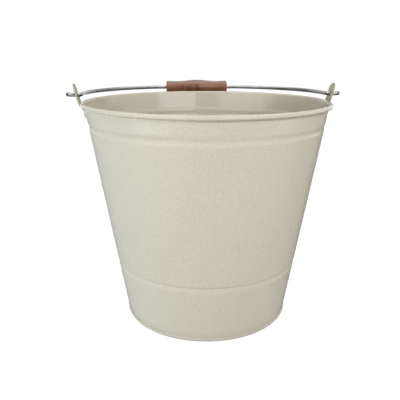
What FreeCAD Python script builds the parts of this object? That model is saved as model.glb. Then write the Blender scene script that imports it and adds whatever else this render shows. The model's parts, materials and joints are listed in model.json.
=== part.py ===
import FreeCAD, Part
import math
import os
from FreeCAD import Vector

# Kindling bucket: a tapered sheet-steel bucket with a rolled rim, a wire bail and a wooden grip.
# Millimetres. The origin is the centre of the foot, on the floor. +Z is up, the bail turns about X,
# -Y is the front and the bail lies back over +Y.

# Wall and base sheet
sheet = 0.7
foot_radius = 103.2                # wall's outer face at the floor
rim_wall_radius = 145.8            # wall's outer face level with the rolled rim
rim_height = 266.1                 # centre of the rolled rim above the floor

# Rolled rim
rim_wire_radius = 1.7
rim_wire_clearance = 0.2
roll_end_gap = 0.6                 # between the end of the roll and the wall

# Swages pressed into the wall, seen from outside as grooves
upper_swage_width = 11.4
upper_swage_depth = 0.8
swage_below_ears = 0.6
lower_swage_height = 75.0          # sharp edge of the lower swage above the floor
lower_swage_slope = 7.4            # long flank below that edge
lower_swage_edge = 2.0             # short flank at that edge
lower_swage_depth = 0.9

# Lock seam down the back of the wall
seam_width = 6.0
seam_proud = 1.1
seam_end_gap = 1.0                 # from the hem below and from the rolled rim above

# Base and its hem
floor_height = 8.0                 # inside floor above the foot
floor_bend = 2.0
hem_height = 5.0
hem_bend = 0.2
hem_clearance = 0.15               # between the wall and each leg of the hem
hem_seat = 0.3                     # below the wall's lower edge

# Ears
ear_sheet = 1.5
ear_wall_gap = 0.1
ear_roll_gap = 0.25
ear_flare = 40.0                   # lean of the part that clears the rolled rim, in degrees
ear_lean = 14.5                    # lean of the tongue, in degrees
ear_bend = 3.0
ear_neck_width = 17.0
ear_crown_radius = 8.5
ear_crown_rise = 4.7               # centre of the round top above the pivot
ear_foot_corner = 3.5

# Rivets
rivet_shank_radius = 1.6
rivet_clearance = 0.06
rivet_head_radius = 2.7
rivet_head_height = 1.3
rivet_tail_radius = 2.6
rivet_tail_height = 1.1
rivet_tail_edge = 0.3              # upright edge of the tail below its crown
rivet_spacing = 9.0
rivet_margin = 1.9                 # ear above and below each rivet's head
rivet_side_margin = 1.3            # ear beside each rivet's head

# Wooden grip
grip_length = 91.0
grip_end_radius = 9.35
grip_waist_radius = 8.7
grip_belly_radius = 10.7
grip_waist_offset = 30.0           # from the middle of the grip
grip_edge = 1.2
grip_bore_clearance = 0.35
grip_rest_gap = 0.3                # to the rolled rim
grip_seat_angle = 55.0             # where the grip sits on the rolled rim, in degrees from the top

# Bail
bail_wire_radius = 2.5
pivot_rise = 10.25                 # pivot above the centre of the rolled rim
pivot_clearance = 0.4
grip_end_gap = 1.5                 # from the grip to the bail's first bend
shoulder_rise = 20.0               # climb beside the grip, in degrees
shoulder_bend = 8.0
shoulder_run = 3.0
shoulder_slope = 25.0              # slope where the long arc starts, in degrees
leg_bend = 3.0
leg_ear_gap = 0.4                  # from the bend to the ear's inner face
stub_outside = 5.0                 # straight wire past the ear's outer face
hook_bend = 5.5
hook_leg = 6.0
wire_end_round = 0.8


def along(heading):
    return Vector(math.cos(math.radians(heading)), 0, math.sin(math.radians(heading)))


def left_of(heading):
    return along(heading + 90)


def walk(place, heading, moves):
    # Follows straight runs and bends in the XZ plane; a positive turn bends to the left.
    segments = []
    for move in moves:
        if move[0] == "run":
            end = place + along(heading) * move[1]
            segments.append([(place, heading), (end, heading)])
        else:
            radius, turn = move[1:]
            arm = math.copysign(radius, turn)
            centre = place + left_of(heading) * arm
            headings = [heading, heading + turn / 2, heading + turn]
            segments.append([(centre - left_of(angle) * arm, angle) for angle in headings])
            heading = headings[-1]
        place = segments[-1][-1][0]
    return segments


def walk_corners(corners, radii):
    # Straight runs between corner points, with a bend of its own radius at each inner corner.
    spans = [after - before for before, after in zip(corners, corners[1:])]
    headings = [math.degrees(math.atan2(span.z, span.x)) for span in spans]
    turns = [(after - before + 180) % 360 - 180 for before, after in zip(headings, headings[1:])]
    trims = [radius * math.tan(math.radians(abs(turn) / 2)) for radius, turn in zip(radii, turns)]
    moves = []
    for index, span in enumerate(spans):
        trim_before = trims[index - 1] if index > 0 else 0
        trim_after = trims[index] if index < len(trims) else 0
        moves.append(("run", span.Length - trim_before - trim_after))
        if index < len(turns):
            moves.append(("bend", radii[index], turns[index]))
    return walk(corners[0], headings[0], moves)


def side_edges(segments, offset):
    edges = []
    for segment in segments:
        points = [place + left_of(heading) * offset for place, heading in segment]
        curve = Part.LineSegment(*points) if len(points) == 2 else Part.Arc(*points)
        edges.append(curve.toShape())
    return edges


def strip_face(segments, near, far):
    # Section of a bent sheet between two offsets to the left of its path.
    edges = side_edges(segments, near) + side_edges(segments, far)
    for place, heading in (segments[0][0], segments[-1][-1]):
        across = left_of(heading)
        edges.append(Part.LineSegment(place + across * near, place + across * far).toShape())
    return Part.Face(Part.Wire(Part.__sortEdges__(edges)))


def turned(face):
    return face.revolve(Vector(0, 0, 0), Vector(0, 0, 1), 360)


def plate(corners, thickness):
    return Part.Face(Part.makePolygon(corners + corners[:1])).extrude(thickness)


def crossing(place, heading, other_place, other_heading):
    # Where two lines in the XZ plane cross.
    gap = other_place - place
    reach = gap.dot(left_of(other_heading)) / along(heading).dot(left_of(other_heading))
    return place + along(heading) * reach


# Wall line, rolled rim and pivot, shared by all the pieces
wall_heading = math.degrees(math.atan2(rim_height, rim_wall_radius - foot_radius))
wall_up = along(wall_heading)
wall_in = left_of(wall_heading)
wall_foot = Vector(foot_radius, 0, 0)
roll_inner_radius = rim_wire_radius + rim_wire_clearance
roll_outer_radius = roll_inner_radius + sheet
roll_centre = Vector(rim_wall_radius + roll_inner_radius / wall_up.z, 0, rim_height)
roll_start = (roll_centre - wall_foot).dot(wall_up)
grip_contact = grip_belly_radius + roll_outer_radius + grip_rest_gap
grip_height = rim_height + grip_contact * math.cos(math.radians(grip_seat_angle))
grip_back = roll_centre.x + grip_contact * math.sin(math.radians(grip_seat_angle))
pivot_height = rim_height + pivot_rise
bail_reach = math.hypot(grip_back, pivot_height - grip_height)
bail_droop = math.degrees(math.atan2(pivot_height - grip_height, grip_back))

# Ear lines: foot on the wall, flare round the rolled rim, tongue
ear_clear = roll_outer_radius + ear_roll_gap
flare_heading = 90 - ear_flare
tongue_heading = 90 - ear_lean
tongue_up = along(tongue_heading)
tongue_out = left_of(tongue_heading) * -1
tongue_start = roll_centre + tongue_out * ear_clear
flare_line = roll_centre - left_of(flare_heading) * ear_clear
foot_line = wall_foot - wall_in * ear_wall_gap
ear_knee = crossing(foot_line, wall_heading, flare_line, flare_heading)
ear_corner = crossing(flare_line, flare_heading, tongue_start, tongue_heading)
knee_trim = ear_bend * math.tan(math.radians((wall_heading - flare_heading) / 2))
ear_foot_length = 2 * (rivet_head_radius + rivet_margin)
ear_foot_width = rivet_spacing + 2 * (rivet_head_radius + rivet_side_margin)
ear_bottom = ear_knee - wall_up * (knee_trim + ear_foot_length)
rivet_seat = ear_bottom + wall_up * (ear_foot_length / 2)
tongue_middle = tongue_start + tongue_out * (ear_sheet / 2)
eye_rise = (pivot_height - tongue_middle.z) / tongue_up.z
eye_centre = tongue_middle + tongue_up * eye_rise
eye_half_span = ear_sheet / 2 / tongue_out.x


def swage(lower_width, upper_width, depth):
    # Dips into the wall along the lower width and out again along the upper width.
    moves = []
    for width, side in ((lower_width, 1), (upper_width, -1)):
        turn = 2 * math.degrees(math.atan(depth / width))
        radius = width / 2 / math.sin(math.radians(turn))
        moves += [("bend", radius, side * turn), ("bend", radius, -side * turn)]
    return moves


def wall_moves(bottom, top):
    # The wall between two distances up its slope.
    lower_top = lower_swage_height / wall_up.z
    lower_bottom = lower_top - lower_swage_edge - lower_swage_slope
    upper_top = (ear_bottom - wall_foot).dot(wall_up) - swage_below_ears
    upper_bottom = upper_top - upper_swage_width
    return [
        ("run", lower_bottom - bottom),
        *swage(lower_swage_slope, lower_swage_edge, lower_swage_depth),
        ("run", upper_bottom - lower_top),
        *swage(upper_swage_width / 2, upper_swage_width / 2, upper_swage_depth),
        ("run", top - upper_top),
    ]


def make_side_wall():
    bottom = (sheet + hem_seat) / wall_up.z
    roll_turn = 360 - math.degrees(math.acos((roll_inner_radius - roll_end_gap) / roll_outer_radius))
    moves = wall_moves(bottom, roll_start) + [("bend", roll_inner_radius, -roll_turn)]
    wall = turned(strip_face(walk(wall_foot + wall_up * bottom, wall_heading, moves), 0, sheet))
    wall = wall.fuse(make_lock_seam()).removeSplitter()
    for turn in (0, 180):
        for side in (-1, 1):
            hole = make_rivet_hole(side)
            hole.rotate(Vector(0, 0, 0), Vector(0, 0, 1), turn)
            wall = wall.cut(hole)
    return wall


def make_lock_seam():
    bottom = (hem_height + seam_end_gap) / wall_up.z
    top = roll_start - roll_outer_radius - seam_end_gap
    path = walk(wall_foot + wall_up * bottom, wall_heading, wall_moves(bottom, top))
    band = turned(strip_face(path, -seam_proud, sheet / 2))
    reach = rim_wall_radius + seam_proud
    window = Part.makeBox(seam_width, reach, rim_height, Vector(-seam_width / 2, 0, 0))
    return band.common(window)


def make_rim_wire():
    return Part.makeTorus(roll_centre.x, rim_wire_radius, Vector(0, 0, roll_centre.z))


def make_base_disc():
    inner_line = wall_foot + wall_in * (sheet + hem_clearance)
    outer_line = wall_foot - wall_in * hem_clearance

    def at_height(line, height):
        return line + wall_up * ((height - line.z) / wall_up.z)

    corners = [
        Vector(0, 0, floor_height),
        at_height(inner_line, floor_height),
        at_height(inner_line, sheet),
        at_height(outer_line, sheet),
        at_height(outer_line, hem_height),
    ]
    path = walk_corners(corners, [floor_bend, hem_bend, hem_bend])
    return turned(strip_face(path, 0, -sheet))


def make_right_ear():
    tongue_end = tongue_start + tongue_up * eye_rise
    path = walk_corners([ear_bottom, ear_knee, ear_corner, tongue_end], [ear_bend, ear_clear])
    foot = wide_strip(path[:1], ear_foot_width)
    lower_corners = [edge for edge in foot.Edges if is_lower_corner(edge)]
    foot = foot.makeFillet(ear_foot_corner, lower_corners)
    neck = wide_strip(path[1:4], ear_neck_width)
    ear = foot.fuse([neck, make_tongue()]).removeSplitter()
    ear = ear.cut(make_pivot_hole())
    for side in (-1, 1):
        ear = ear.cut(make_rivet_hole(side))
    return ear


def wide_strip(path, width):
    strip = strip_face(path, 0, -ear_sheet)
    strip.translate(Vector(0, -width / 2, 0))
    return strip.extrude(Vector(0, width, 0))


def is_lower_corner(edge):
    # The two short edges through the sheet at the ear's lower end.
    across = (edge.Vertexes[0].Point - edge.Vertexes[-1].Point).Length
    low = (edge.CenterOfMass - ear_bottom).dot(wall_up)
    return abs(across - ear_sheet) < ear_sheet / 10 and abs(low) < ear_sheet / 10


def make_tongue():
    # Flat tongue with a round top, clipped where its neck starts.
    def spot(side, rise):
        return tongue_start + Vector(0, side, 0) + tongue_up * rise

    thickness = tongue_out * ear_sheet
    neck = ear_neck_width / 2
    crown = ear_crown_radius
    rise = eye_rise + ear_crown_rise
    flank = plate([spot(-neck, 0), spot(neck, 0), spot(crown, rise), spot(-crown, rise)], thickness)
    disc = Part.makeCylinder(crown, ear_sheet, spot(0, rise), tongue_out)
    top = rise + crown
    flat = plate([spot(-crown, 0), spot(crown, 0), spot(crown, top), spot(-crown, top)], thickness)
    return flank.fuse(disc.common(flat)).removeSplitter()


def make_pivot_hole():
    length = 2 * ear_crown_radius
    start = Vector(eye_centre.x - length / 2, 0, pivot_height)
    return Part.makeCylinder(bail_wire_radius + pivot_clearance, length, start, Vector(1, 0, 0))


def make_rivet_hole(side):
    length = 2 * ear_foot_length
    start = rivet_seat + Vector(0, side * rivet_spacing / 2, 0) + wall_in * (length / 2)
    return Part.makeCylinder(rivet_shank_radius + rivet_clearance, length, start, wall_in * -1)


def make_right_rivet(side):
    # Built upright with its axis on Z and the ear's inner face at zero, then laid into its hole.
    wall_radius = rivet_seat.x
    half_spacing = rivet_spacing / 2
    wall_falls_away = (wall_radius - math.sqrt(wall_radius ** 2 - half_spacing ** 2)) * wall_up.z
    wall_depth = ear_wall_gap + wall_falls_away + sheet
    head = dome(rivet_head_radius, ear_sheet, ear_sheet, ear_sheet + rivet_head_height)
    tail_edge = -wall_depth - rivet_tail_edge
    shank = Part.makeCylinder(rivet_shank_radius, ear_sheet - tail_edge, Vector(0, 0, tail_edge))
    tail = dome(rivet_tail_radius, -wall_depth + sheet / 2, tail_edge, -wall_depth - rivet_tail_height)
    seat = FreeCAD.Placement(
        rivet_seat + Vector(0, side * half_spacing, 0),
        FreeCAD.Rotation(Vector(0, 0, 1), wall_in * -1),
    )
    for solid in (head, shank, tail):
        solid.Placement = seat
    return head.fuse([shank, tail.common(make_wall_inside())]).removeSplitter()


def dome(radius, base, edge, crown):
    # Round head with an upright edge from base to edge and a spherical crown.
    rise = crown - edge
    ball_radius = (radius ** 2 + rise ** 2) / (2 * abs(rise))
    ball_centre = crown - math.copysign(ball_radius, rise)
    half_angle = math.asin(radius / ball_radius) / 2
    middle_height = ball_centre + math.copysign(ball_radius * math.cos(half_angle), rise)
    middle = Vector(ball_radius * math.sin(half_angle), 0, middle_height)
    corners = [Vector(0, 0, crown), Vector(0, 0, base), Vector(radius, 0, base)]
    if edge != base:
        corners.append(Vector(radius, 0, edge))
    arc = Part.Arc(corners[-1], middle, corners[0]).toShape()
    return turned(Part.Face(Part.Wire(Part.makePolygon(corners).Edges + [arc])))


def make_wall_inside():
    # Solid cone up to the wall's inner face beside the rivets, less the clearance.
    inner_line = wall_foot + wall_in * (sheet + rivet_clearance)
    low, high = ((rivet_seat - inner_line).dot(wall_up) + side * ear_foot_length / 2 for side in (-1, 1))
    bottom = inner_line + wall_up * low
    top = inner_line + wall_up * high
    return Part.makeCone(bottom.x, top.x, top.z - bottom.z, Vector(0, 0, bottom.z))


def make_bail_wire():
    # Half of the bail, from the middle of the grip to the hook, swept flat and mirrored.
    def span(moves):
        ends = walk(Vector(0, 0, 0), 0, moves)
        return ends[-1][-1][0]

    stub_start = eye_centre.x - eye_half_span - leg_ear_gap
    leg_reach = stub_start - leg_bend
    shoulder = [
        ("run", grip_length / 2 + grip_end_gap),
        ("bend", shoulder_bend, shoulder_rise),
        ("run", shoulder_run),
        ("bend", shoulder_bend, -shoulder_rise - shoulder_slope),
    ]
    shoulder_end = span(shoulder)
    arc_radius = (leg_reach - shoulder_end.x) / (1 - math.sin(math.radians(shoulder_slope)))
    arc_drop = arc_radius * math.cos(math.radians(shoulder_slope))
    moves = shoulder + [
        ("bend", arc_radius, shoulder_slope - 90),
        ("run", bail_reach + shoulder_end.z - arc_drop - leg_bend),
        ("bend", leg_bend, 90),
        ("run", leg_ear_gap + 2 * eye_half_span + stub_outside),
        ("bend", hook_bend, 90),
        ("run", hook_leg),
    ]
    path = walk(Vector(0, 0, bail_reach), 0, moves)
    section = Part.makeCircle(bail_wire_radius, path[0][0][0], Vector(1, 0, 0))
    half = Part.Wire(side_edges(path, 0)).makePipeShell([Part.Wire(section)], True, False)
    tip = path[-1][-1][0]
    end_edges = [edge for edge in half.Edges if (edge.CenterOfMass - tip).Length < wire_end_round / 10]
    half = half.makeFillet(wire_end_round, end_edges)
    bail = half.fuse(half.mirror(Vector(0, 0, 0), Vector(1, 0, 0))).removeSplitter()
    bail.rotate(Vector(0, 0, 0), Vector(1, 0, 0), -90 - bail_droop)
    bail.translate(Vector(0, 0, pivot_height))
    return bail


def make_wooden_grip():
    half = grip_length / 2
    waist = grip_waist_offset
    bore = bail_wire_radius + grip_bore_clearance
    outline = Part.BSplineCurve()
    outline.interpolate(
        Points=[
            Vector(-half + grip_edge, 0, grip_end_radius),
            Vector(-waist, 0, grip_waist_radius),
            Vector(0, 0, grip_belly_radius),
            Vector(waist, 0, grip_waist_radius),
            Vector(half - grip_edge, 0, grip_end_radius),
        ]
    )
    edges = [outline.toShape()]
    corners = []
    for side in (-1, 1):
        shoulder = Vector(side * (half - grip_edge), 0, grip_end_radius)
        face_top = Vector(side * half, 0, grip_end_radius - grip_edge)
        inset = grip_edge * math.sin(math.radians(45))
        middle = Vector(shoulder.x + side * inset, 0, face_top.z + inset)
        edges.append(Part.Arc(shoulder, middle, face_top).toShape())
        corners += [face_top, Vector(side * half, 0, bore)]
    edges += Part.makePolygon([corners[0], corners[1], corners[3], corners[2]]).Edges
    section = Part.Face(Part.Wire(Part.__sortEdges__(edges)))
    grip = section.revolve(Vector(0, 0, 0), Vector(1, 0, 0), 360)
    grip.translate(Vector(0, grip_back, grip_height))
    return grip


def opposite(solid):
    # The same piece on the other side of the bucket.
    other = solid.copy()
    other.rotate(Vector(0, 0, 0), Vector(0, 0, 1), 180)
    return other


right_ear = make_right_ear()
right_front_rivet = make_right_rivet(-1)
right_rear_rivet = make_right_rivet(1)
pieces = {
    "side_wall": make_side_wall(),
    "rim_wire": make_rim_wire(),
    "base_disc": make_base_disc(),
    "right_ear": right_ear,
    "right_ear_front_rivet": right_front_rivet,
    "right_ear_rear_rivet": right_rear_rivet,
    "left_ear": opposite(right_ear),
    "left_ear_front_rivet": opposite(right_rear_rivet),
    "left_ear_rear_rivet": opposite(right_front_rivet),
    "bail_wire": make_bail_wire(),
    "wooden_grip": make_wooden_grip(),
}

os.makedirs("parts", exist_ok=True)
for name, shape in pieces.items():
    shape.exportStep(f"parts/{name}.step")
    print(f"{name}: {len(shape.Solids)} solid, {shape.Volume:.1f} mm3, valid {shape.isValid()}")
print(f"pivot height {pivot_height:.3f}, grip at {grip_back:.3f}, {grip_height:.3f}, eye at {eye_centre.x:.3f}")
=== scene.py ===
import json
import math
import bpy
import bmesh
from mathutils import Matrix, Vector


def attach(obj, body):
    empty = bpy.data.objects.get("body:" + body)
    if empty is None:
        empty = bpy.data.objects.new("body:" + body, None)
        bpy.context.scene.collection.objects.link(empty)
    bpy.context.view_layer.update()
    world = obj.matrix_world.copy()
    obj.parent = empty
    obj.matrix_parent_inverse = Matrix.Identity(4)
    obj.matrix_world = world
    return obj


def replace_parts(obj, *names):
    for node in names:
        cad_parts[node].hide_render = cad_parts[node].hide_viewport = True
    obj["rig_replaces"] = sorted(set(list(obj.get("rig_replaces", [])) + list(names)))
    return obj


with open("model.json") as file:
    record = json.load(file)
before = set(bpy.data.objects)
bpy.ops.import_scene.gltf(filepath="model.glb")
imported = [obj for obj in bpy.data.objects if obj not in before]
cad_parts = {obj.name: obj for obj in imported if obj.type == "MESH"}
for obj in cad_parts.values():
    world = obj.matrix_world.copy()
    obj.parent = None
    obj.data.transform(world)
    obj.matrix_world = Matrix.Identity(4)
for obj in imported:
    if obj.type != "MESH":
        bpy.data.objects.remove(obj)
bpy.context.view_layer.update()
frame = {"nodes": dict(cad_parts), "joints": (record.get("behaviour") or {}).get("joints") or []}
mm = 0.001
weldReach = 0.000004  # vertices nearer than this become one
creaseAngle = 40      # edges sharper than this stay crisp
sideView = {"up": Vector((0, 0, 1)), "axis": Vector((0, -1, 0))}  # paths drawn in XZ
planView = {"up": Vector((0, 1, 0)), "axis": Vector((0, 0, 1))}   # paths drawn in XY
joints = {joint["name"]: Vector(joint["pos_m"]) / mm for joint in frame["joints"]}
pivot, gripAxis = joints["bail_swing"], joints["grip_spin"]
print("frame loaded:", len(frame["nodes"]), "nodes")


def clearSelection():
    if bpy.context.object and bpy.context.object.mode != "OBJECT":
        bpy.ops.object.mode_set(mode="OBJECT")
    bpy.ops.object.select_all(action="DESELECT")
    bpy.context.tool_settings.mesh_select_mode = (True, False, False)


def choose(obj):  # the one object selected, and active
    clearSelection()
    obj.select_set(True)
    bpy.context.view_layer.objects.active = obj


def selectAll():  # in edit mode
    bpy.ops.mesh.select_all(action="SELECT")


def startPoint(name, place):  # one vertex to extrude from, left in edit mode
    clearSelection()
    bpy.ops.mesh.primitive_plane_add(size=mm)
    obj = bpy.context.object
    obj.name = name
    bpy.ops.object.mode_set(mode="EDIT")
    bpy.ops.mesh.merge(type="CENTER")
    bpy.ops.transform.translate(value=place * mm)
    return obj


def startRing(name, vertices, radius, place):  # circle that faces along X
    clearSelection()
    bpy.ops.mesh.primitive_circle_add(vertices=vertices, radius=radius * mm, location=place * mm,
                                      rotation=(0, math.pi / 2, 0))
    obj = bpy.context.object
    obj.name = name
    bpy.ops.object.transform_apply(location=True, rotation=True, scale=True)
    bpy.ops.object.mode_set(mode="EDIT")
    return obj


def extrudeBy(offset):
    bpy.ops.mesh.extrude_region_move(TRANSFORM_OT_translate={"value": offset * mm})


def direction(view, heading):
    return Vector((1, 0, 0)) * math.cos(heading) + view["up"] * math.sin(heading)


def leftOf(view, heading):
    return direction(view, heading + math.pi / 2)


def nextStep(view, place, heading, move):
    # where a run or a bend ends, and the bend's centre; a left turn is positive
    if move[0] == "run":
        return place + direction(view, heading) * move[1], heading, None
    turn = math.radians(move[2])
    arm = math.copysign(move[1], turn)
    centre = place + leftOf(view, heading) * arm
    return centre - leftOf(view, heading + turn) * arm, heading + turn, centre


def followPath(view, place, heading, moves):
    # extrudes what is selected along straight runs, and spins it round the bends
    for move in moves:
        end, newHeading, centre = nextStep(view, place, heading, move)
        if centre is None:
            extrudeBy(end - place)
        else:
            turn = heading - newHeading
            bpy.ops.mesh.spin(steps=move[3], angle=turn, center=centre * mm, axis=view["axis"])
        place, heading = end, newHeading


def pathEnd(view, place, heading, moves):
    for move in moves:
        place, heading, centre = nextStep(view, place, heading, move)
    return place


def cornerMoves(corners, bends):
    # straight runs between the corners, with a bend of its own radius and steps at each inner corner
    spans = [after - before for before, after in zip(corners, corners[1:])]
    headings = [math.degrees(math.atan2(span.z, span.x)) for span in spans]
    turns = [(after - before + 180) % 360 - 180 for before, after in zip(headings, headings[1:])]
    trims = [bend[0] * math.tan(math.radians(abs(turn)) / 2) for bend, turn in zip(bends, turns)]
    moves = []
    for span, trimBefore, trimAfter in zip(spans, [0] + trims, trims + [0]):
        moves.append(("run", span.length - trimBefore - trimAfter))
    for index, (bend, turn) in enumerate(zip(bends, turns)):
        moves.insert(2 * index + 1, ("bend", bend[0], turn, bend[1]))
    return math.radians(headings[0]), moves


def crossing(place, heading, otherPlace, otherHeading):
    # where two lines in the side view meet
    across = leftOf(sideView, otherHeading)
    ahead = direction(sideView, heading)
    return place + ahead * ((otherPlace - place).dot(across) / ahead.dot(across))


def closeUp():  # merge doubles and turn the faces outwards
    selectAll()
    bpy.ops.mesh.remove_doubles(threshold=weldReach)
    bpy.ops.mesh.normals_make_consistent(inside=False)


def turnRound(steps, centre=(0, 0, 0), axis=(0, 0, 1)):  # the whole outline, once round
    selectAll()
    bpy.ops.mesh.spin(steps=steps, angle=2 * math.pi, center=centre, axis=axis)
    closeUp()


def pick(obj, test, kind="verts"):
    # selects in edit mode what passes the test, and nothing else
    mode = {"verts": "VERT", "faces": "FACE"}[kind]
    bpy.ops.mesh.select_mode(type=mode)
    bpy.ops.mesh.select_all(action="DESELECT")
    mesh = bmesh.from_edit_mesh(obj.data)
    for item in getattr(mesh, kind):
        item.select_set(bool(test(item)))
    mesh.select_flush_mode()
    bmesh.update_edit_mesh(obj.data)


def faceOutwards(obj, isOuter, outward):
    # flips the whole sheet if a face that the test finds points the wrong way
    mesh = bmesh.from_edit_mesh(obj.data)
    face = next(each for each in mesh.faces if isOuter(each.calc_center_median()))
    if face.normal.dot(outward(face.calc_center_median())) < 0:
        selectAll()
        bpy.ops.mesh.flip_normals()


def radial(point):
    return Vector((point.x, point.y, 0)).normalized()


def useModifier(obj, kind, **settings):
    choose(obj)
    modifier = obj.modifiers.new(kind.title(), kind)
    for name, value in settings.items():
        setattr(modifier, name, value)
    bpy.ops.object.modifier_apply(modifier=modifier.name)


def smooth(obj, angle=creaseAngle):
    choose(obj)
    bpy.ops.object.shade_smooth_by_angle(angle=math.radians(angle))


def copyTurned(obj, name, angle):
    # own copy, turned about the bucket's upright axis
    choose(obj)
    bpy.ops.object.duplicate()
    other = bpy.context.object
    other.name = name
    other.rotation_euler = (0, 0, math.radians(angle))
    bpy.ops.object.transform_apply(location=True, rotation=True, scale=True)
    return other


def settle(obj, body, material, slotName, *nodes):
    # finish, body and the nodes that the piece stands for
    obj.data.materials.clear()
    obj.data.materials.append(material)
    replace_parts(obj, *nodes)
    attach(obj, body)


# finishes

def newMaterial(name):
    material = bpy.data.materials.new(name)
    material.use_nodes = True
    return material, material.node_tree, material.node_tree.nodes["Principled BSDF"]


def addNode(tree, kind, place, **settings):
    node = tree.nodes.new(kind)
    node.location = place
    for name, value in settings.items():
        setattr(node, name, value)
    return node


def setInputs(node, values):
    for name, value in values.items():
        node.inputs[name].default_value = value


def rampNode(tree, place, stops):
    node = addNode(tree, "ShaderNodeValToRGB", place)
    ramp = node.color_ramp
    while len(ramp.elements) < len(stops):
        ramp.elements.new(0.5)
    for element, (position, colour) in zip(ramp.elements, stops):
        element.position = position
        element.color = (*colour, 1)
    return node


grainDetail = {"fine": 3, "broad": 2}
grainInputs = ("Fine Scale", "Broad Scale", "Broad Share")


def makeGrainGroup():
    # even noise, fine and broad, that the finishes share
    group = bpy.data.node_groups.new("surfaceGrain", "ShaderNodeTree")
    group.interface.new_socket("Vector", in_out="INPUT", socket_type="NodeSocketVector")
    for name in grainInputs:
        group.interface.new_socket(name, in_out="INPUT", socket_type="NodeSocketFloat")
    group.interface.new_socket("Tone", in_out="OUTPUT", socket_type="NodeSocketFloat")
    group.interface.new_socket("Height", in_out="OUTPUT", socket_type="NodeSocketFloat")
    start = addNode(group, "NodeGroupInput", (-600, 0))
    end = addNode(group, "NodeGroupOutput", (400, 0))
    fine = addNode(group, "ShaderNodeTexNoise", (-350, 120))
    broad = addNode(group, "ShaderNodeTexNoise", (-350, -160))
    fine.inputs["Detail"].default_value = grainDetail["fine"]
    broad.inputs["Detail"].default_value = grainDetail["broad"]
    tone = addNode(group, "ShaderNodeMix", (120, 0))
    link = group.links.new
    link(start.outputs["Vector"], fine.inputs["Vector"])
    link(start.outputs["Vector"], broad.inputs["Vector"])
    link(start.outputs["Fine Scale"], fine.inputs["Scale"])
    link(start.outputs["Broad Scale"], broad.inputs["Scale"])
    link(start.outputs["Broad Share"], tone.inputs["Factor"])
    link(fine.outputs[0], tone.inputs["A"])
    link(broad.outputs[0], tone.inputs["B"])
    link(tone.outputs[0], end.inputs["Tone"])
    link(fine.outputs[0], end.inputs["Height"])
    return group


grainGroup = makeGrainGroup()


def addGrain(tree, place, vector, spec):
    node = addNode(tree, "ShaderNodeGroup", place, node_tree=grainGroup)
    setInputs(node, dict(zip(grainInputs, spec["grain"])))
    tree.links.new(vector, node.inputs["Vector"])
    return node


def addGlossAndBump(tree, column, grain, shader, spec):
    # roughness and relief that follow the grain
    gloss = addNode(tree, "ShaderNodeMapRange", (column, -120))
    gloss.inputs["To Min"].default_value, gloss.inputs["To Max"].default_value = spec["roughness"]
    bump = addNode(tree, "ShaderNodeBump", (column, -380))
    bump.inputs["Strength"].default_value, bump.inputs["Distance"].default_value = spec["bump"]
    tree.links.new(grain.outputs["Tone"], gloss.inputs["Value"])
    tree.links.new(gloss.outputs[0], shader.inputs["Roughness"])
    tree.links.new(grain.outputs["Height"], bump.inputs["Height"])
    tree.links.new(bump.outputs["Normal"], shader.inputs["Normal"])


# in each finish: grain is fine scale, broad scale and share of the broad; bump is strength and depth
toneSpan = (0.3, 0.7)       # of the grain, from the dark tone to the light one
creamPaint = {
    "dark": (0.556, 0.526, 0.427),
    "light": (0.649, 0.619, 0.509),
    "grain": (620, 16, 0.08),
    "roughness": (0.02, 0.05),
    "bump": (0.012, 0.0003),
    "specular": 0.5, "metallic": 0,
    "footShadeHeight": 15.0,     # painted shade, darker towards the hem, with dark lines just above the hem's edge and at the very bottom: share of this height, and tone there
    "footShadeTones": [(0.07, 0.62), (0.13, 0.99), (0.325, 1.0), (0.34, 0.91), (0.40, 0.93), (1.0, 1.0)],
}
strapPaint = {              # the cream coat on the ears and rivets, duller, with its colour darkened as painted shade
    "dark": (0.385, 0.363, 0.270),
    "light": (0.455, 0.432, 0.330),
    "grain": (620, 16, 0.08),
    "roughness": (0.45, 0.60),
    "bump": (0.03, 0.0003),
    "specular": 0.15, "metallic": 0,
}
brightWire = {
    "dark": (0.19, 0.19, 0.195),
    "light": (0.33, 0.33, 0.33),
    "grain": (1600, 90, 0.5),
    "roughness": (0.03, 0.07),
    "bump": (0.06, 0.0002),
    "specular": 0.5, "metallic": 1,
}
plainWire = {
    "dark": (0.20, 0.19, 0.18),
    "light": (0.40, 0.39, 0.37),
    "grain": (1600, 90, 0.5),
    "roughness": (0.35, 0.55),
    "bump": (0.06, 0.0002),
    "specular": 0.5, "metallic": 1,
}


# painted shade: darkens the paint towards the foot, by height on the object
def paintFootShade(tree, vector, colour, spec):
    axes = addNode(tree, "ShaderNodeSeparateXYZ", (-780, 420))
    share = addNode(tree, "ShaderNodeMapRange", (-580, 420))
    share.inputs["From Max"].default_value = spec["footShadeHeight"] * mm
    tones = rampNode(tree, (-380, 420), [(place, (tone,) * 3) for place, tone in spec["footShadeTones"]])
    shaded = addNode(tree, "ShaderNodeMix", (-100, 300), data_type="RGBA", blend_type="MULTIPLY")
    shaded.inputs["Factor"].default_value = 1
    tree.links.new(vector, axes.inputs[0])
    tree.links.new(axes.outputs["Z"], share.inputs["Value"])
    tree.links.new(share.outputs[0], tones.inputs[0])
    tree.links.new(colour, shaded.inputs["A"])
    tree.links.new(tones.outputs["Color"], shaded.inputs["B"])
    return shaded.outputs["Result"]


def makeFinish(name, spec):  # paint or wire
    material, tree, shader = newMaterial(name)
    coords = addNode(tree, "ShaderNodeTexCoord", (-1000, 0))
    grain = addGrain(tree, (-780, 0), coords.outputs["Object"], spec)
    tone = rampNode(tree, (-520, 160), list(zip(toneSpan, (spec["dark"], spec["light"]))))
    tree.links.new(grain.outputs["Tone"], tone.inputs[0])
    colour = tone.outputs["Color"]
    # painted shade towards the foot
    if "footShadeTones" in spec:
        colour = paintFootShade(tree, coords.outputs["Object"], colour, spec)
    tree.links.new(colour, shader.inputs["Base Color"])
    addGlossAndBump(tree, -520, grain, shader, spec)
    shader.inputs["Specular IOR Level"].default_value = spec["specular"]
    shader.inputs["Metallic"].default_value = spec["metallic"]
    return material


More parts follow.
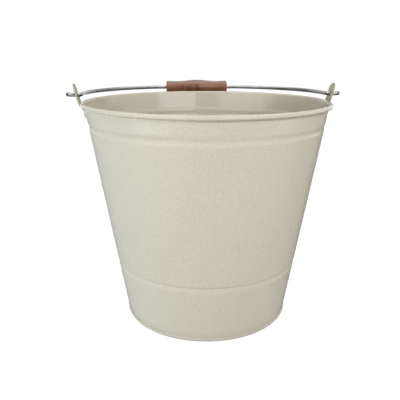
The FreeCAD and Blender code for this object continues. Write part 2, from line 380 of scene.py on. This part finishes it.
turnedWood = {
    "stops": [(0.12, (0.021, 0.006, 0.002)), (0.38, (0.098, 0.030, 0.010)), (0.58, (0.178, 0.064, 0.022)),
              (0.85, (0.275, 0.119, 0.050))],
    "grain": (1500, 260, 0.55),
    "grainStretch": (0.12, 1, 1),  # the grain runs along the grip
    "figure": {"Scale": 110, "Detail": 4, "Distortion": 0.6},
    "figureShare": 0.45,
    "roughness": (0.34, 0.46),
    "bump": (0.25, 0.0003),
    "specular": 0.75,
    "rings": {"Scale": 190, "Distortion": 3, "Detail": 3, "Detail Scale": 2},
    "ringTone": (-0.8, -0.2),      # how much darker with the rings, and everywhere
    "knots": [                     # place from the grip's middle, reach, depth of tone
        (0.0, -10.4, 2.2, 5.5, 0.60),
        (-20.3, -8.4, 3.0, 3.0, 0.55),
        (-10.0, -9.4, 4.0, 3.0, 0.45),
        (-11.0, -9.6, -3.4, 6.0, 0.42),
        (1.0, -10.5, -2.6, 5.0, 0.38),
        (24.0, 3.0, 8.4, 5.0, 0.36),
    ],
}


def addKnot(tree, row, vector, tone, knot):
    # darkens the tone in uneven rings round one place
    *place, reach, depth = knot
    link = tree.links.new
    moved = addNode(tree, "ShaderNodeMapping", (-1200, row))
    moved.inputs["Location"].default_value = -Vector(place) * mm
    link(vector, moved.inputs["Vector"])
    rings = addNode(tree, "ShaderNodeTexWave", (-1000, row), wave_type="RINGS", rings_direction="SPHERICAL")
    setInputs(rings, turnedWood["rings"])
    link(moved.outputs["Vector"], rings.inputs["Vector"])
    away = addNode(tree, "ShaderNodeVectorMath", (-1000, row - 160), operation="LENGTH")
    link(moved.outputs["Vector"], away.inputs[0])
    fade = addNode(tree, "ShaderNodeMapRange", (-800, row - 160), interpolation_type="SMOOTHSTEP")
    setInputs(fade, {"From Max": reach * mm, "To Min": depth, "To Max": 0})
    link(away.outputs["Value"], fade.inputs["Value"])
    dark = addNode(tree, "ShaderNodeMath", (-600, row), operation="MULTIPLY_ADD")
    dark.inputs[1].default_value, dark.inputs[2].default_value = turnedWood["ringTone"]
    link(rings.outputs["Fac"], dark.inputs[0])
    drop = addNode(tree, "ShaderNodeMath", (-400, row), operation="MULTIPLY_ADD")
    link(dark.outputs[0], drop.inputs[0])
    link(fade.outputs[0], drop.inputs[1])
    link(tone, drop.inputs[2])
    return drop.outputs[0]


def makeTurnedWood(axisPlace):
    spec = turnedWood
    material, tree, shader = newMaterial("turnedWood")
    link = tree.links.new
    coords = addNode(tree, "ShaderNodeTexCoord", (-1800, 0))
    centred = addNode(tree, "ShaderNodeMapping", (-1600, 0))
    centred.inputs["Location"].default_value = -axisPlace
    link(coords.outputs["Object"], centred.inputs["Vector"])
    stretched = addNode(tree, "ShaderNodeMapping", (-1400, 120))
    stretched.inputs["Scale"].default_value = spec["grainStretch"]
    link(centred.outputs["Vector"], stretched.inputs["Vector"])
    grain = addGrain(tree, (-1000, 320), stretched.outputs["Vector"], spec)
    figure = addNode(tree, "ShaderNodeTexNoise", (-1000, 120))
    setInputs(figure, spec["figure"])
    link(centred.outputs["Vector"], figure.inputs["Vector"])
    mixTone = addNode(tree, "ShaderNodeMix", (-700, 220))
    mixTone.inputs["Factor"].default_value = spec["figureShare"]
    link(grain.outputs["Tone"], mixTone.inputs["A"])
    link(figure.outputs[0], mixTone.inputs["B"])
    toneValue = mixTone.outputs[0]
    for index, knot in enumerate(spec["knots"]):
        toneValue = addKnot(tree, -200 - 360 * index, centred.outputs["Vector"], toneValue, knot)
    tone = rampNode(tree, (-200, 160), spec["stops"])
    link(toneValue, tone.inputs[0])
    link(tone.outputs["Color"], shader.inputs["Base Color"])
    addGlossAndBump(tree, -200, grain, shader, spec)
    shader.inputs["Specular IOR Level"].default_value = spec["specular"]
    return material


# side wall: one profile from the hem to the end of the roll, turned and given its sheet; millimetres

wallSheet = {
    "sheet": 0.7,
    "footRadius": 103.2, "rimRadius": 145.8, "rimHeight": 266.1,  # outer face, and the middle of the roll
    "rimWire": 1.7, "wireGap": 0.2, "rollEndGap": 0.6,
    "lowerSwage": 75.0, "lowerSlope": 7.4, "lowerEdge": 2.0, "lowerDepth": 0.9,
    "upperWidth": 11.4, "upperDepth": 0.8, "belowEars": 0.6,
    "seamWidth": 6.0, "seamProud": 1.1, "seamGap": 1.0,
    "seamPatch": 6, "seamAbove": 4.0, "seamFacing": 0.4,          # where the skin is cut for the seam
    "plainBand": (100.0, 200.0),                                  # heights between the swages
    "swageSteps": 4, "rollSteps": 30, "steps": 216, "runEdge": 0.8,
}
wallHeading = math.atan2(wallSheet["rimHeight"], wallSheet["rimRadius"] - wallSheet["footRadius"])
wallUp, wallIn = direction(sideView, wallHeading), leftOf(sideView, wallHeading)
wallFoot = Vector((wallSheet["footRadius"], 0, 0))
rollInner = wallSheet["rimWire"] + wallSheet["wireGap"]
rollOuter = rollInner + wallSheet["sheet"]
rollCentre = Vector((wallSheet["rimRadius"] + rollInner / wallUp.z, 0, wallSheet["rimHeight"]))
rollStart = (rollCentre - wallFoot).dot(wallUp)  # up the slope


def swageMoves(lowerWidth, upperWidth, depth):
    # dips into the wall and comes out again, each flank two bends
    moves, steps = [], wallSheet["swageSteps"]
    for width, side in ((lowerWidth, 1), (upperWidth, -1)):
        turn = 2 * math.atan(depth / width)
        radius, turn = width / 2 / math.sin(turn), side * math.degrees(turn)
        moves += [("bend", radius, turn, steps), ("bend", radius, -turn, steps)]
    return moves


def edgedRun(length):
    # short faces beside the bends, so that the long one between them shades flat
    edge = wallSheet["runEdge"]
    return [("run", edge), ("run", length - 2 * edge), ("run", edge)]


def wallMoves(bottom):
    spec = wallSheet
    lowerTop = spec["lowerSwage"] / wallUp.z
    lowerBottom = lowerTop - spec["lowerEdge"] - spec["lowerSlope"]
    upperTop = (earBottom - wallFoot).dot(wallUp) - spec["belowEars"]
    upperBottom = upperTop - spec["upperWidth"]
    half = spec["upperWidth"] / 2
    rollTurn = 360 - math.degrees(math.acos((rollInner - spec["rollEndGap"]) / rollOuter))
    lowerSwage = swageMoves(spec["lowerSlope"], spec["lowerEdge"], spec["lowerDepth"])
    upperSwage = swageMoves(half, half, spec["upperDepth"])
    roll = ("bend", rollInner, -rollTurn, spec["rollSteps"])
    return [*edgedRun(lowerBottom - bottom), *lowerSwage, *edgedRun(upperBottom - lowerTop), *upperSwage,
            *edgedRun(rollStart - upperTop), roll]


def makeWallSheet(material):
    spec = wallSheet
    bottom = (spec["sheet"] + baseSheet["hemSeat"]) / wallUp.z
    place = wallFoot + wallUp * bottom
    wall = startPoint("wallSheet", place)
    followPath(sideView, place, wallHeading, wallMoves(bottom))
    turnRound(spec["steps"])
    low, high = (height * mm for height in spec["plainBand"])
    faceOutwards(wall, lambda middle: low < middle.z < high, radial)
    useModifier(wall, "SOLIDIFY", thickness=spec["sheet"] * mm, offset=-1, use_even_offset=True)
    raiseSeam(wall)
    smooth(wall)
    settle(wall, "bucket", material, "cream_paint", "side_wall")


def raiseSeam(wall):
    # lock seam down the back, raised from the outer skin
    spec = wallSheet
    half = spec["seamWidth"] / 2 * mm
    low = (baseSheet["hem"] + spec["seamGap"]) * mm
    high = wallUp.z * (rollStart - rollOuter - spec["seamGap"]) * mm
    choose(wall)
    bpy.ops.object.mode_set(mode="EDIT")

    def isBackSkin(face, reach):
        middle = face.calc_center_median()
        facesOut = face.normal.dot(radial(middle)) > spec["seamFacing"]
        below = middle.z < high + spec["seamAbove"] * mm
        return facesOut and below and middle.y > 0 and abs(middle.x) < reach

    cuts = [((-half, 0, 0), (1, 0, 0)), ((half, 0, 0), (1, 0, 0)),
            ((0, 0, low), (0, 0, 1)), ((0, 0, high), (0, 0, 1))]
    for point, normal in cuts:
        pick(wall, lambda face: isBackSkin(face, spec["seamPatch"] * half), "faces")
        bpy.ops.mesh.bisect(plane_co=point, plane_no=normal)
    pick(wall, lambda face: isBackSkin(face, half) and low < face.calc_center_median().z < high, "faces")
    bpy.ops.mesh.extrude_region_shrink_fatten(
        TRANSFORM_OT_shrink_fatten={"value": spec["seamProud"] * mm})
    bpy.ops.object.mode_set(mode="OBJECT")


# base: pressed pan whose skirt is folded up round the wall's lower edge

baseSheet = {
    "floor": 8.0, "floorBend": 2.0, "hem": 5.0, "hemBend": 0.2, "hemGap": 0.15, "hemSeat": 0.3,
    "flatMiddle": 25.0,  # radius of the part that is looked at for the side it faces
    "floorSteps": 6, "hemSteps": 4, "rings": 4, "steps": 180,
}


def makeBaseSheet(material):
    spec, sheet = baseSheet, wallSheet["sheet"]
    innerLine = wallFoot + wallIn * (sheet + spec["hemGap"])
    outerLine = wallFoot - wallIn * spec["hemGap"]

    def atHeight(line, height):
        return line + wallUp * ((height - line.z) / wallUp.z)

    place = Vector((0, 0, spec["floor"]))
    corners = [place, atHeight(innerLine, spec["floor"]), atHeight(innerLine, sheet),
               atHeight(outerLine, sheet), atHeight(outerLine, spec["hem"])]
    hemBend = (spec["hemBend"], spec["hemSteps"])
    heading, moves = cornerMoves(corners, [(spec["floorBend"], spec["floorSteps"]), hemBend, hemBend])
    rings = [("run", moves[0][1] / spec["rings"])] * spec["rings"]
    base = startPoint("baseSheet", place)
    followPath(sideView, place, heading, rings + moves[1:])
    turnRound(spec["steps"])
    flat = spec["flatMiddle"] * mm
    faceOutwards(base, lambda middle: middle.xy.length < flat, lambda middle: Vector((0, 0, -1)))
    useModifier(base, "SOLIDIFY", thickness=sheet * mm, offset=1, use_even_offset=True)
    smooth(base)
    settle(base, "bucket", material, "cream_paint", "base_disc")


# ears: a strap with a round eye, folded out round the roll and down onto the wall

earStrap = {
    "sheet": 1.5, "wallGap": 0.1, "rollGap": 0.25,
    "flare": 40.0, "lean": 14.5, "bend": 3.0,          # leans in degrees from upright
    "crown": 8.5, "crownRise": 4.7, "holeGap": 0.4,    # round top above the pivot
    "footLength": 9.2, "footCorner": 3.5, "footFlats": 5,
    "edge": 0.3, "edgeSteps": 3, "edgeAngle": 50, "ring": 48, "bendSteps": 5,
    "pickReach": 0.1,                                  # how near counts as the same place
}
earClear = rollOuter + earStrap["rollGap"]
flareHeading = math.radians(90 - earStrap["flare"])
tongueHeading = math.radians(90 - earStrap["lean"])
tongueUp, tongueOut = direction(sideView, tongueHeading), -leftOf(sideView, tongueHeading)
tongueStart = rollCentre + tongueOut * earClear
flareLine = rollCentre - leftOf(sideView, flareHeading) * earClear
earKnee = crossing(wallFoot - wallIn * earStrap["wallGap"], wallHeading, flareLine, flareHeading)
earCorner = crossing(flareLine, flareHeading, tongueStart, tongueHeading)
kneeTrim = earStrap["bend"] * math.tan((wallHeading - flareHeading) / 2)
earBottom = earKnee - wallUp * (kneeTrim + earStrap["footLength"])
tongueMiddle = tongueStart + tongueOut * (earStrap["sheet"] / 2)
eyeRise = (pivot.z - tongueMiddle.z) / tongueUp.z


def makeEarStrap(material):
    spec = earStrap
    rise, nearBy = spec["crownRise"] * mm, spec["pickReach"] * mm
    ear = startRing("rightEarStrap", spec["ring"], spec["crown"], Vector((0, 0, spec["crownRise"])))
    # the ring's lower half drops to a straight edge at the fold
    pick(ear, lambda point: point.co.z < rise - nearBy)
    widen = 1 / math.cos(2 * math.pi / spec["ring"])
    bpy.ops.transform.resize(value=(1, widen, 0), center_override=(0, 0, rise))
    bpy.ops.transform.translate(value=(0, 0, -rise - eyeRise * mm))
    # the eye, joined to the outline
    hole = (bailRod["radius"] + spec["holeGap"]) * mm
    bpy.ops.mesh.primitive_circle_add(vertices=spec["ring"], radius=hole, rotation=(0, math.pi / 2, 0))
    selectAll()
    bpy.ops.mesh.bridge_edge_loops()
    selectAll()
    bpy.ops.transform.rotate(value=-math.radians(spec["lean"]), orient_axis="Y", center_override=(0, 0, 0))
    eyePlace = tongueStart + tongueUp * eyeRise
    bpy.ops.transform.translate(value=eyePlace * mm)
    # that straight edge leads round the roll and down to the foot
    fold = tongueStart * mm
    pick(ear, lambda point: abs(point.co.z - fold.z) < nearBy and abs(point.co.x - fold.x) < nearBy)
    bends = [(earClear, spec["bendSteps"]), (spec["bend"], spec["bendSteps"])]
    heading, moves = cornerMoves([eyePlace, earCorner, earKnee, earBottom], bends)
    followPath(sideView, tongueStart, heading, moves[1:])
    roundFoot()
    closeUp()
    faceOutwards(ear, lambda middle: middle.z > fold.z, radial)
    useModifier(ear, "SOLIDIFY", thickness=spec["sheet"] * mm, offset=1, use_even_offset=True)
    useModifier(ear, "BEVEL", width=spec["edge"] * mm, segments=spec["edgeSteps"], limit_method="ANGLE",
                angle_limit=math.radians(spec["edgeAngle"]))
    smooth(ear)
    settle(ear, "bucket", material, "cream_paint", "right_ear")
    other = copyTurned(ear, "leftEarStrap", 180)
    del other["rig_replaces"]  # copied with the first ear
    settle(other, "bucket", material, "cream_paint", "left_ear")


def roundFoot():
    # takes the two lower corners off in short flats
    spec, corner = earStrap, earStrap["footCorner"]
    flatTurn = math.radians(90 / spec["footFlats"])
    for side in (-1, 1):
        centre = earBottom + wallUp * corner + Vector((0, side * (spec["crown"] - corner), 0))
        for index in range(spec["footFlats"]):
            angle = flatTurn * (index + 0.5)
            normal = Vector((0, side, 0)) * math.cos(angle) - wallUp * math.sin(angle)
            selectAll()
            bpy.ops.mesh.bisect(plane_co=(centre + normal * corner) * mm, plane_no=normal, clear_outer=True)


# rivets: domed head on the ear, shank, and a flatter tail inside the wall

rivet = {
    "shank": 1.6, "head": 2.7, "headHeight": 1.3,
    "tail": 2.6, "tailHeight": 1.1, "tailEdge": 0.3, "tailGap": 0.02,
    "spacing": 9.0, "domeSteps": 8, "steps": 32,
}


def domeMove(radius, rise):
    ball = (radius ** 2 + rise ** 2) / (2 * rise)
    return "bend", ball, -math.degrees(math.asin(radius / ball)), rivet["domeSteps"]


def makeRivets(material):
    spec, sheet = rivet, earStrap["sheet"]
    seat = earBottom + wallUp * (earStrap["footLength"] / 2)
    half = spec["spacing"] / 2
    fallsAway = (seat.x - math.sqrt(seat.x ** 2 - half ** 2)) * wallUp.z  # the round wall beside its middle
    wallDepth = earStrap["wallGap"] + fallsAway + wallSheet["sheet"]
    tailSeat, tailEdge = -wallDepth - spec["tailGap"], -wallDepth - spec["tailEdge"]
    top = Vector((0, 0, sheet + spec["headHeight"]))
    first = startPoint("rightRearRivet", top)
    head = domeMove(spec["head"], spec["headHeight"])
    followPath(sideView, top, 0, [head])
    place = pathEnd(sideView, top, 0, [head])
    # under the head, along the shank and out to the tail's edge
    outline = [(spec["shank"], sheet), (spec["shank"], tailSeat),
               (spec["tail"], tailSeat), (spec["tail"], tailEdge)]
    for across, height in outline:
        target = Vector((across, 0, height))
        extrudeBy(target - place)
        place = target
    tail = domeMove(spec["tail"], spec["tailHeight"] - spec["tailEdge"])
    followPath(sideView, place, math.radians(180 - tail[2]), [tail])
    turnRound(spec["steps"])
    selectAll()
    bpy.ops.transform.rotate(value=wallHeading - math.pi, orient_axis="Y", center_override=(0, 0, 0))
    bpy.ops.transform.translate(value=(seat + Vector((0, half, 0))) * mm)
    smooth(first)
    second = copyTurned(first, "rightFrontRivet", 0)
    bpy.ops.object.mode_set(mode="EDIT")
    selectAll()
    bpy.ops.transform.translate(value=(0, -spec["spacing"] * mm, 0))
    clearSelection()
    third = copyTurned(first, "leftFrontRivet", 180)
    fourth = copyTurned(second, "leftRearRivet", 180)
    names = ("right_ear_rear_rivet", "right_ear_front_rivet", "left_ear_front_rivet", "left_ear_rear_rivet")
    for obj, node in zip((first, second, third, fourth), names):
        settle(obj, "bucket", material, "cream_paint", node)


# bail: a ring of the wire's section led from the middle of the grip to the hook, then mirrored

bailRod = {
    "radius": 2.5, "gripGap": 1.5,
    "shoulderRise": 20, "shoulderBend": 8, "shoulderRun": 3, "shoulderSlope": 25,  # angles in degrees
    "legBend": 3, "earGap": 0.4, "stub": 5, "hookBend": 5.5, "hookLeg": 6, "tip": 0.8,
    "ring": 20, "riseSteps": 4, "slopeSteps": 8, "arcSteps": 48, "bendSteps": 12, "tipSteps": 4,
    "middleWeld": 0.01, "crease": 50,  # where the halves meet, and degrees that stay crisp
}


def bailMoves(reach):
    spec = bailRod
    rise, slope = spec["shoulderRise"], spec["shoulderSlope"]
    eyeHalf = earStrap["sheet"] / 2 / tongueOut.x
    stubStart = (tongueMiddle + tongueUp * eyeRise).x - eyeHalf - spec["earGap"]
    shoulder = [("run", turnedGrip["length"] / 2 + spec["gripGap"]),
                ("bend", spec["shoulderBend"], rise, spec["riseSteps"]),
                ("run", spec["shoulderRun"]),
                ("bend", spec["shoulderBend"], -rise - slope, spec["slopeSteps"])]
    shoulderEnd = pathEnd(planView, Vector((0, reach, 0)), 0, shoulder)
    arcRadius = (stubStart - spec["legBend"] - shoulderEnd.x) / (1 - math.sin(math.radians(slope)))
    arcDrop = arcRadius * math.cos(math.radians(slope))
    return [*shoulder, ("bend", arcRadius, slope - 90, spec["arcSteps"]),
            ("run", shoulderEnd.y - arcDrop - spec["legBend"]),
            ("bend", spec["legBend"], 90, spec["bendSteps"]),
            ("run", spec["earGap"] + 2 * eyeHalf + spec["stub"]),
            ("bend", spec["hookBend"], 90, spec["bendSteps"]), ("run", spec["hookLeg"])]


def makeBailRod(material):
    spec = bailRod
    arm = gripAxis - pivot
    reach, droop = arm.length, math.atan2(-arm.z, arm.y)
    place = pivot + Vector((0, reach, 0))
    bail = startRing("bailRod", spec["ring"], spec["radius"], place)
    selectAll()
    followPath(planView, place, 0, bailMoves(reach))
    bpy.ops.mesh.edge_face_add()
    bpy.ops.mesh.bevel(offset=spec["tip"] * mm, segments=spec["tipSteps"], affect="EDGES")
    closeUp()
    useModifier(bail, "MIRROR", use_axis=(True, False, False), use_clip=True,
                merge_threshold=spec["middleWeld"] * mm)
    choose(bail)
    bpy.ops.object.mode_set(mode="EDIT")
    closeUp()
    selectAll()
    bpy.ops.transform.rotate(value=droop, orient_axis="X", center_override=pivot * mm)
    bpy.ops.object.mode_set(mode="OBJECT")
    smooth(bail, spec["crease"])
    settle(bail, "bail", material, "bright_wire", "bail_wire")


# grip: the turned outline from end to end, spun about the wire

turnedGrip = {
    "length": 91.0, "boreGap": 0.35, "belly": 10.7, "waist": 8.7, "waistPlace": 30.0, "end": 9.35,
    "edge": 1.2, "edgeShare": 0.3,  # rounding of the ends, and the share of it at its middle
    "rings": 32, "steps": 72,
}


def gripRadius(along):
    spec = turnedGrip
    along, waist, half = abs(along), spec["waistPlace"], spec["length"] / 2 - spec["edge"]
    if along < waist:
        return spec["waist"] + (spec["belly"] - spec["waist"]) * (1 + math.cos(math.pi * along / waist)) / 2
    return spec["waist"] + (spec["end"] - spec["waist"]) * ((along - waist) / (half - waist)) ** 2


def makeTurnedGrip(material):
    spec = turnedGrip
    half, edge, end = spec["length"] / 2, spec["edge"], spec["end"]
    bore, rounding = bailRod["radius"] + spec["boreGap"], spec["edgeShare"] * edge
    ending = [(-half, bore), (-half, end - edge), (-half + rounding, end - rounding)]
    outline = list(ending)
    for step in range(spec["rings"] + 1):
        along = (half - edge) * (2 * step / spec["rings"] - 1)
        outline.append((along, gripRadius(along)))
    outline += [(-along, radius) for along, radius in reversed(ending)]
    points = [gripAxis + Vector((along, 0, radius)) for along, radius in outline]
    grip = startPoint("turnedGrip", points[0])
    for before, after in zip(points, points[1:] + points[:1]):
        extrudeBy(after - before)
    selectAll()
    bpy.ops.mesh.remove_doubles(threshold=weldReach)
    turnRound(spec["steps"], gripAxis * mm, (1, 0, 0))
    bpy.ops.object.mode_set(mode="OBJECT")
    smooth(grip)
    settle(grip, "grip", material, "turned_wood", "wooden_grip")


paint = makeFinish("creamPaint", creamPaint)
# the ears' cream paint, darkened as painted shade
shadedEarPaint = makeFinish("strapPaint", strapPaint)
wire = makeFinish("brightWire", brightWire)
rimWire = makeFinish("plainWire", plainWire)
wood = makeTurnedWood(gripAxis * mm)
print("finishes made")
makeWallSheet(paint)
makeBaseSheet(paint)
print("wall and base made")
makeEarStrap(shadedEarPaint)
makeRivets(shadedEarPaint)
print("ears and rivets made")
makeBailRod(wire)
makeTurnedGrip(wood)
print("bail and grip made")
# the wire in the roll is closed in, and keeps its own mesh
for slotItem in frame["nodes"]["rim_wire"].material_slots:
    slotItem.material = rimWire


# stage, light and camera; metres

studio = {
    "floorSize": 12, "floorDrop": 0.0002,
    "floorWhite": 0.54,                     # as the lamps light it
    "whiteShare": 0.9, "whiteGlow": 1.12,   # as the camera and reflections see it
    "worldDiffuse": 0.01,                   # faint light from all round
    "fadedCards": ("leftFloorCard", "rightFloorCard"),
    "fadeShare": 0.14, "fadeStart": 1.04,   # of their depth, and the tone at the near edge
    "lamps": [
        # name, size, bearing from the front, height, distance, aim height, power, colour
        ("leftPanel", (1.9, 1.0), -48, 0.50, 2.0, 0.20, 22, (0.98, 1.0, 0.92)),
        ("rightHigh", (1.5, 0.8), 28, 1.30, 2.0, 0.25, 35, (0.92, 0.925, 1.0)),
        ("leftSide", (1.4, 0.5), -100, 0.25, 1.9, 0.15, 24, (0.68, 0.78, 1.0)),
        ("rightSide", (1.4, 0.5), 100, 0.25, 1.9, 0.15, 13, (0.98, 1.0, 0.82)),
        ("overhead", (2.0, 1.6), 0, 1.70, 0.0, 0.25, 9, (1.0, 0.82, 0.62)),
        ("backPanel", (2.2, 0.3), 180, 0.15, 2.0, 0.12, 22, (1.0, 1.0, 1.0)),
    ],
    "cards": [
        # name, size, place, turn, tone; cards that only reflections see
        ("leftWindow", (1.9, 1.3), (-1.486, -1.338, 0.75), (90, 0, -48), 2.1),
        ("rightWindow", (1.5, 1.1), (0.939, -1.766, 0.80), (90, 0, 28), 3.1),
        ("topCard", (2.4, 2.0), (0, 0.2, 1.6), (0, 0, 0), 3.0),
        ("leftFloorCard", (1.6, 1.9), (-0.8, 0.65, 0.002), (0, 0, 0), 0.35),
        ("rightFloorCard", (1.6, 1.9), (0.8, 0.65, 0.002), (0, 0, 0), 0.20),
        ("frontFloorCard", (3.0, 1.5), (0, -1.65, 0.002), (0, 0, 0), 2.3),
        ("leftGlowCard", (0.64, 0.26), (-0.542, -0.533, 0.003), (0, 0, -45.5), 2.1),
        ("cameraCard", (0.7, 1.4), (-0.23, -1.9, 0.75), (90, 0, 7), 0.02),
        ("leftBackCard", (1.9, 0.9), (-1.669, 0.674, 0.5), (90, 0, -112), 0.02),
    ],
}


def stagePlace(bearing, height, distance):
    turn = math.radians(bearing)
    return Vector((math.sin(turn) * distance, -math.cos(turn) * distance, height))


def emptyMaterial(name):  # a stage material with nothing but its output
    material = bpy.data.materials.new(name)
    material.use_nodes = True
    tree = material.node_tree
    tree.nodes.clear()
    return material, tree, addNode(tree, "ShaderNodeOutputMaterial", (500, 0))


def seenDirectly(tree):
    # one for rays from the camera, a reflection or glass, and nought for those that light things
    rays = addNode(tree, "ShaderNodeLightPath", (-620, 200))
    seen = rays.outputs["Is Camera Ray"]
    for column, kind in ((-400, "Is Glossy Ray"), (-200, "Is Transmission Ray")):
        either = addNode(tree, "ShaderNodeMath", (column, 200), operation="MAXIMUM")
        tree.links.new(seen, either.inputs[0])
        tree.links.new(rays.outputs[kind], either.inputs[1])
        seen = either.outputs[0]
    return seen


def makeFloor():
    clearSelection()
    bpy.ops.mesh.primitive_plane_add(size=studio["floorSize"], location=(0, 0, -studio["floorDrop"]))
    floor = bpy.context.object
    floor.name = "floor"
    material, tree, out = emptyMaterial("paleFloor")
    mix = addNode(tree, "ShaderNodeMixShader", (280, 0))
    matt = addNode(tree, "ShaderNodeBsdfDiffuse", (0, -120))
    white = addNode(tree, "ShaderNodeEmission", (0, -260))
    share = addNode(tree, "ShaderNodeMath", (40, 160), operation="MULTIPLY")
    share.inputs[1].default_value = studio["whiteShare"]
    matt.inputs["Color"].default_value = (studio["floorWhite"],) * 3 + (1,)
    white.inputs["Strength"].default_value = studio["whiteGlow"]
    link = tree.links.new
    link(seenDirectly(tree), share.inputs[0])
    link(share.outputs[0], mix.inputs[0])
    link(matt.outputs[0], mix.inputs[1])
    link(white.outputs[0], mix.inputs[2])
    link(mix.outputs[0], out.inputs[0])
    floor.data.materials.append(material)


def makeWorld():
    world = bpy.data.worlds.new("studio")
    bpy.context.scene.world = world
    world.use_nodes = True
    tree = world.node_tree
    tree.nodes.clear()
    out = addNode(tree, "ShaderNodeOutputWorld", (400, 0))
    mix = addNode(tree, "ShaderNodeMixShader", (200, 0))
    soft = addNode(tree, "ShaderNodeBackground", (0, -100))
    white = addNode(tree, "ShaderNodeBackground", (0, -220))
    soft.inputs["Color"].default_value = (1, 1, 1, 1)
    white.inputs["Color"].default_value = (1, 1, 1, 1)
    soft.inputs["Strength"].default_value = studio["worldDiffuse"]
    link = tree.links.new
    link(seenDirectly(tree), mix.inputs[0])
    link(soft.outputs[0], mix.inputs[1])
    link(white.outputs[0], mix.inputs[2])
    link(mix.outputs[0], out.inputs[0])


def makeLamps():
    for name, size, bearing, height, distance, aimHeight, power, colour in studio["lamps"]:
        light = bpy.data.lights.new(name, "AREA")
        light.shape = "RECTANGLE"
        light.size, light.size_y = size
        light.energy = power
        light.color = colour
        lamp = bpy.data.objects.new(name, light)
        bpy.context.scene.collection.objects.link(lamp)
        lamp.location = stagePlace(bearing, height, distance)
        aim = Vector((0, 0, aimHeight)) - lamp.location
        lamp.rotation_euler = aim.to_track_quat("-Z", "Y").to_euler()
        lamp.visible_camera = lamp.visible_glossy = False  # the cards stand for them in reflections


def fadeCard(tree, glow, tone):
    # runs from the floor's white at the near edge to the card's own tone
    coords = addNode(tree, "ShaderNodeTexCoord", (-600, 0))
    axes = addNode(tree, "ShaderNodeSeparateXYZ", (-400, 0))
    fade = addNode(tree, "ShaderNodeMapRange", (-200, 0))
    near = -0.5  # edge of a plane of size one
    setInputs(fade, {"From Min": near, "From Max": near + studio["fadeShare"],
                     "To Min": studio["fadeStart"], "To Max": tone})
    tree.links.new(coords.outputs["Object"], axes.inputs[0])
    tree.links.new(axes.outputs["Y"], fade.inputs["Value"])
    tree.links.new(fade.outputs[0], glow.inputs["Strength"])


def makeCards():
    for name, size, place, turn, tone in studio["cards"]:
        clearSelection()
        rotation = [math.radians(angle) for angle in turn]
        bpy.ops.mesh.primitive_plane_add(size=1, location=place, rotation=rotation)
        card = bpy.context.object
        card.name = name
        card.scale = (*size, 1)
        material, tree, out = emptyMaterial(name)
        glow = addNode(tree, "ShaderNodeEmission", (0, 0))
        glow.inputs["Strength"].default_value = tone
        if name in studio["fadedCards"]:
            fadeCard(tree, glow, tone)
        tree.links.new(glow.outputs[0], out.inputs[0])
        card.data.materials.append(material)
        card.visible_camera = card.visible_diffuse = False
        card.visible_shadow = card.visible_transmission = False


photoCamera = {
    "lens": 44.42, "sensor": 36, "shift": -0.0159,
    "distance": 0.60966, "height": 0.3257,
    "azimuth": -5.6, "tilt": 73.24, "roll": 0.164,  # degrees
}


def makeCamera():
    spec = photoCamera
    data = bpy.data.cameras.new("photoCamera")
    camera = bpy.data.objects.new("photoCamera", data)
    bpy.context.scene.collection.objects.link(camera)
    data.lens, data.sensor_width, data.shift_x = spec["lens"], spec["sensor"], spec["shift"]
    camera.location = stagePlace(spec["azimuth"], spec["height"], spec["distance"])
    camera.rotation_euler = (math.radians(spec["tilt"]), 0, math.radians(spec["azimuth"]))
    camera.rotation_euler.rotate_axis("Z", math.radians(spec["roll"]))
    bpy.context.scene.camera = camera


makeFloor()
makeWorld()
makeLamps()
makeCards()
makeCamera()
bpy.context.scene.view_settings.view_transform = "Standard"
print("stage, light and camera made")
